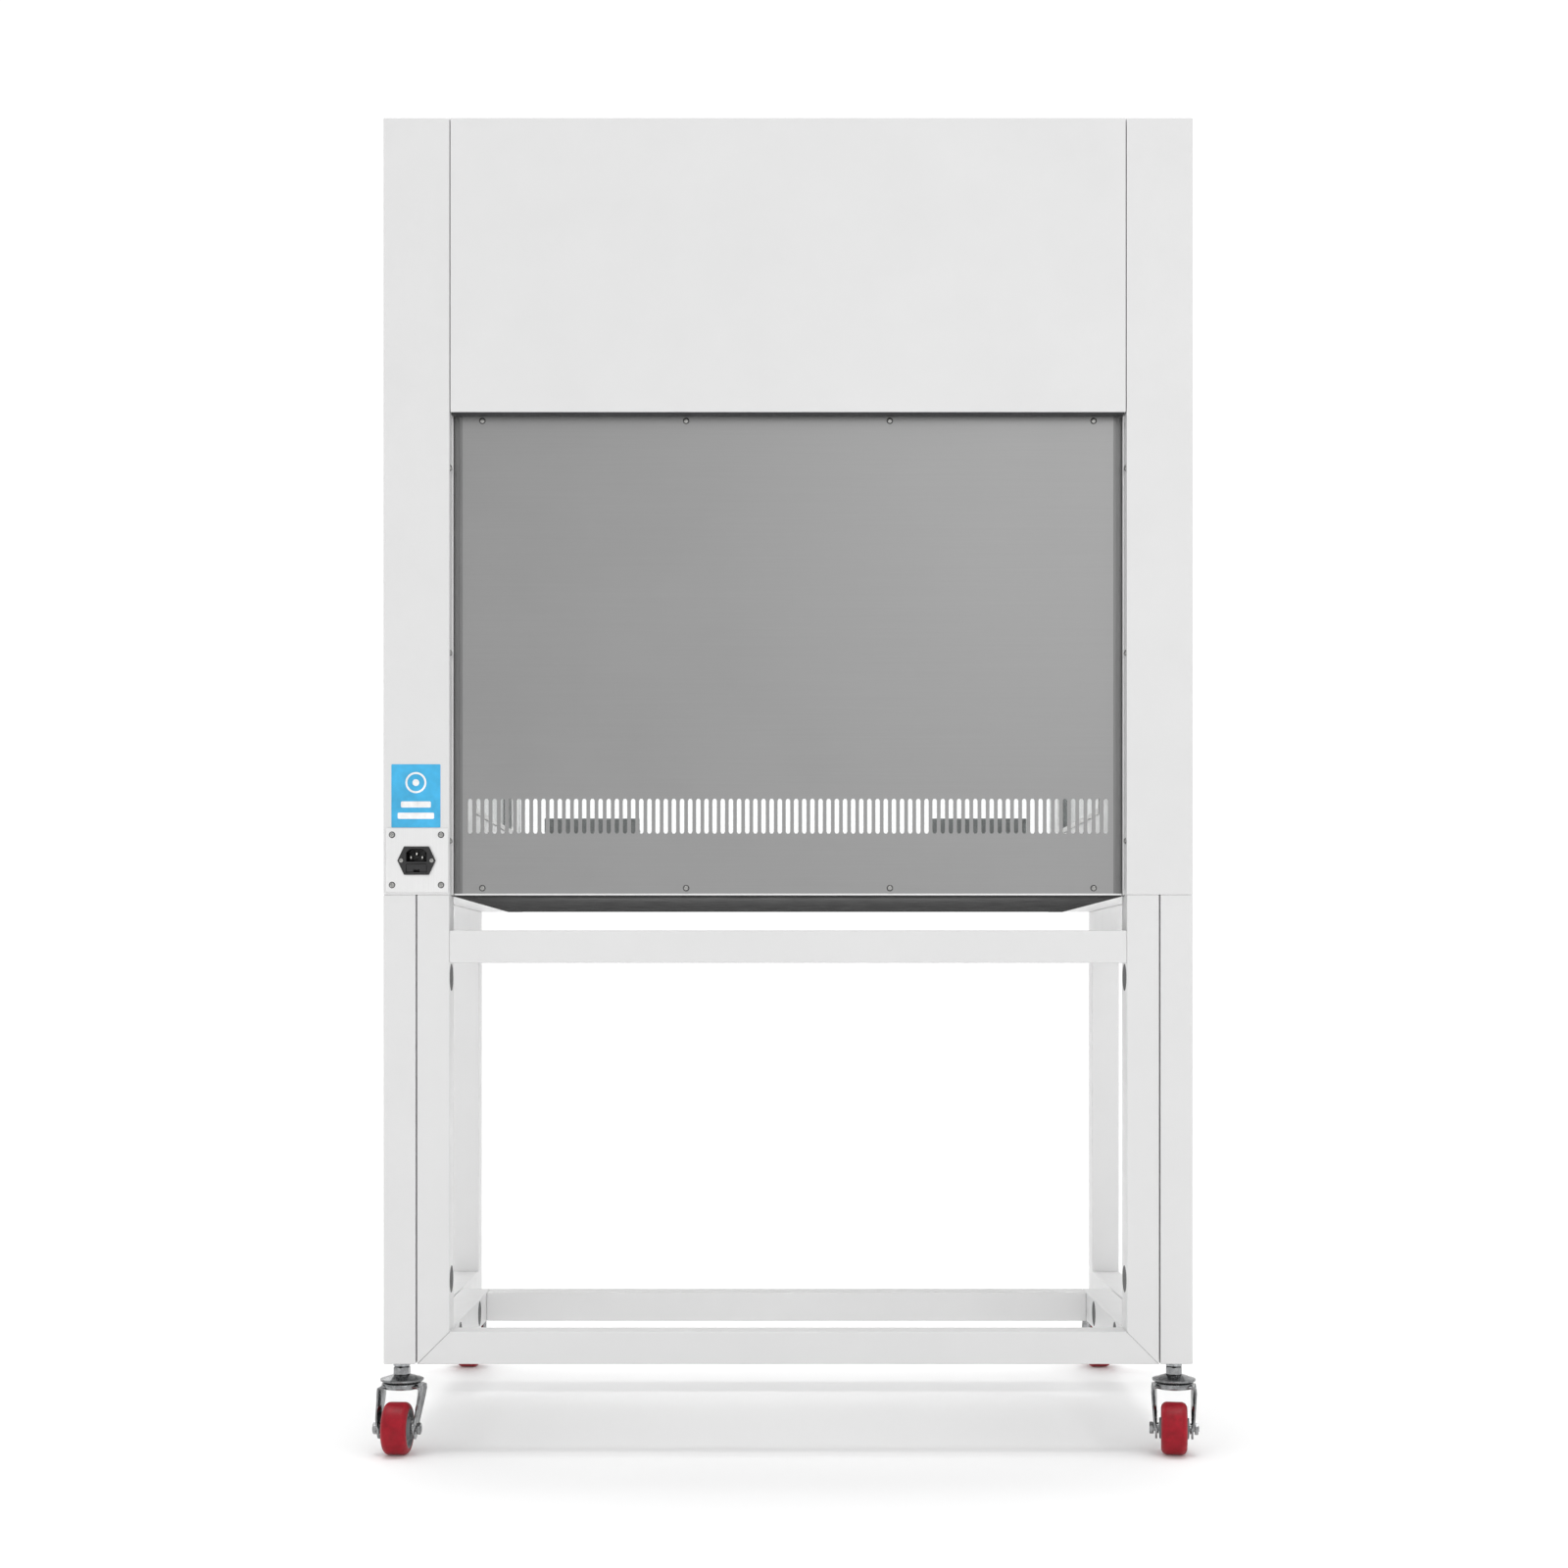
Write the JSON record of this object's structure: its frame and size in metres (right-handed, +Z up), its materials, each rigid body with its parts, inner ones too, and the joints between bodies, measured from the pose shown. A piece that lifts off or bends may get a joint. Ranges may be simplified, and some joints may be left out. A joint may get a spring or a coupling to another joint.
{
  "type": "fume hood",
  "caption": "Vertical-flow clean-air hood on a caster stand, seen from its slotted stainless rear: hollow cabinet, sliding counterweighted glass sash, fan, filter, mains inlet.",
  "frame": {"origin": "on the floor under the middle of the hood", "axes": "+Z up, -Y towards the slotted rear panel, +Y towards the sash and the operator, +X to the right seen from the rear"},
  "size_m": [1.023, 0.7298, 1.65],
  "materials": {
    "stand_paint": "satin white powder coat",
    "cabinet_paint": "satin light-grey white powder coat",
    "stainless": "finely brushed stainless steel",
    "brushed_plate": "brushed plate",
    "galvanised": "galvanised sheet",
    "chrome": "zinc and chrome plate",
    "wheel_tread": "glossy red polyurethane on a grey core",
    "glass": "clear toughened glass",
    "counterweight": "dark cast iron",
    "filter": "pleated glass-fibre paper in a frame",
    "lamp": "white batten with a frosted tube",
    "button": "light grey keys",
    "motor_paint": "black enamel",
    "black_plastic": "black moulded plastic"
  },
  "bodies": {
    "root": {"leg_rear_left": "stand_paint", "leg_front_left": "stand_paint", "side_rail_top_left": "stand_paint", "side_rail_bottom_left": "stand_paint", "inner_leg_left": "stand_paint", "base_rail_left": "stand_paint", "leg_rear_right": "stand_paint", "leg_front_right": "stand_paint", "side_rail_top_right": "stand_paint", "side_rail_bottom_right": "stand_paint", "inner_leg_right": "stand_paint", "base_rail_right": "stand_paint", "rear_rail_lower": "stand_paint", "rear_rail_upper": "stand_paint", "foot_rail": "stand_paint", "caster_stem_rear_left": "chrome", "caster_stem_rear_right": "chrome", "caster_stem_front_left": "chrome", "caster_stem_front_right": "chrome", "side_casing_left": "cabinet_paint", "side_window_left": "glass", "side_casing_right": "cabinet_paint", "side_window_right": "glass", "rear_cover": "cabinet_paint", "top_cover": "cabinet_paint", "back_panel": "stainless", "work_surface": "stainless", "bottom_pan": "stainless", "front_apron": "cabinet_paint", "front_fascia": "cabinet_paint", "hepa_filter": "filter", "diffuser_screen": "stainless", "blower_housing": "galvanised", "blower_motor": "motor_paint", "chamber_lamp": "lamp", "inlet_plate": "brushed_plate", "inlet_body": "black_plastic", "control_panel": "black_plastic"},
    "sash": {"sash_glass": "glass", "sash_handle_left": "black_plastic", "sash_handle_right": "black_plastic"},
    "counterweight_left": {"counterweight_left": "counterweight"},
    "counterweight_right": {"counterweight_right": "counterweight"},
    "impeller": {"impeller": "galvanised"},
    "fuse_drawer": {"fuse_drawer": "black_plastic"},
    "power_button": {"power_button": "button"},
    "fan_button": {"fan_button": "button"},
    "light_button": {"light_button": "button"},
    "fork_rear_left": {"caster_fork_rear_left": "chrome", "caster_axle_rear_left": "chrome"},
    "wheel_rear_left": {"caster_wheel_rear_left": "wheel_tread"},
    "fork_rear_right": {"caster_fork_rear_right": "chrome", "caster_axle_rear_right": "chrome"},
    "wheel_rear_right": {"caster_wheel_rear_right": "wheel_tread"},
    "fork_front_left": {"caster_fork_front_left": "chrome", "caster_axle_front_left": "chrome"},
    "wheel_front_left": {"caster_wheel_front_left": "wheel_tread"},
    "fork_front_right": {"caster_fork_front_right": "chrome", "caster_axle_front_right": "chrome"},
    "wheel_front_right": {"caster_wheel_front_right": "wheel_tread"}
  },
  "joints": [
    {"name": "sash_slide", "type": "slide", "parent": "root", "child": "sash", "axis": [0, 0, 1], "range_m": [0, 0.328]},
    {"name": "counterweight_left_slide", "type": "slide", "parent": "root", "child": "counterweight_left", "axis": [0, 0, 1], "range_m": [-0.328, 0]},
    {"name": "counterweight_right_slide", "type": "slide", "parent": "root", "child": "counterweight_right", "axis": [0, 0, 1], "range_m": [-0.328, 0]},
    {"name": "impeller_spin", "type": "hinge", "parent": "root", "child": "impeller", "pos_m": [0, 0, 1.518], "axis": [1, 0, 0], "continuous": true},
    {"name": "fuse_drawer_slide", "type": "slide", "parent": "root", "child": "fuse_drawer", "axis": [0, -1, 0], "range_m": [0, 0.02]},
    {"name": "power_button_press", "type": "slide", "parent": "root", "child": "power_button", "axis": [0, -1, 0], "range_m": [0, 0.0015], "stiffness_N_per_m": 800, "springref_m": -0.001},
    {"name": "fan_button_press", "type": "slide", "parent": "root", "child": "fan_button", "axis": [0, -1, 0], "range_m": [0, 0.0015], "stiffness_N_per_m": 800, "springref_m": -0.001},
    {"name": "light_button_press", "type": "slide", "parent": "root", "child": "light_button", "axis": [0, -1, 0], "range_m": [0, 0.0015], "stiffness_N_per_m": 800, "springref_m": -0.001},
    {"name": "swivel_rear_left", "type": "hinge", "parent": "root", "child": "fork_rear_left", "pos_m": [-0.48, -0.305, 0.09], "axis": [0, 0, 1], "continuous": true},
    {"name": "wheel_spin_rear_left", "type": "hinge", "parent": "fork_rear_left", "child": "wheel_rear_left", "pos_m": [-0.48141, -0.33196, 0.03222], "axis": [0.9986, -0.0523, 0], "continuous": true},
    {"name": "swivel_rear_right", "type": "hinge", "parent": "root", "child": "fork_rear_right", "pos_m": [0.48, -0.305, 0.09], "axis": [0, 0, 1], "continuous": true},
    {"name": "wheel_spin_rear_right", "type": "hinge", "parent": "fork_rear_right", "child": "wheel_rear_right", "pos_m": [0.47578, -0.33167, 0.03222], "axis": [0.9877, -0.1564, 0], "continuous": true},
    {"name": "swivel_front_left", "type": "hinge", "parent": "root", "child": "fork_front_left", "pos_m": [-0.48, 0.305, 0.09], "axis": [0, 0, 1], "continuous": true},
    {"name": "wheel_spin_front_left", "type": "hinge", "parent": "fork_front_left", "child": "wheel_front_left", "pos_m": [-0.48094, 0.33198, 0.03222], "axis": [-0.9994, -0.0349, 0], "continuous": true},
    {"name": "swivel_front_right", "type": "hinge", "parent": "root", "child": "fork_front_right", "pos_m": [0.48, 0.305, 0.09], "axis": [0, 0, 1], "continuous": true},
    {"name": "wheel_spin_front_right", "type": "hinge", "parent": "fork_front_right", "child": "wheel_front_right", "pos_m": [0.47578, 0.33167, 0.03222], "axis": [-0.9877, -0.1564, 0], "continuous": true}
  ],
  "couplings": [
    {"joint": "counterweight_left_slide", "follows": "sash_slide", "ratio": -1},
    {"joint": "counterweight_right_slide", "follows": "sash_slide", "ratio": -1}
  ]
}
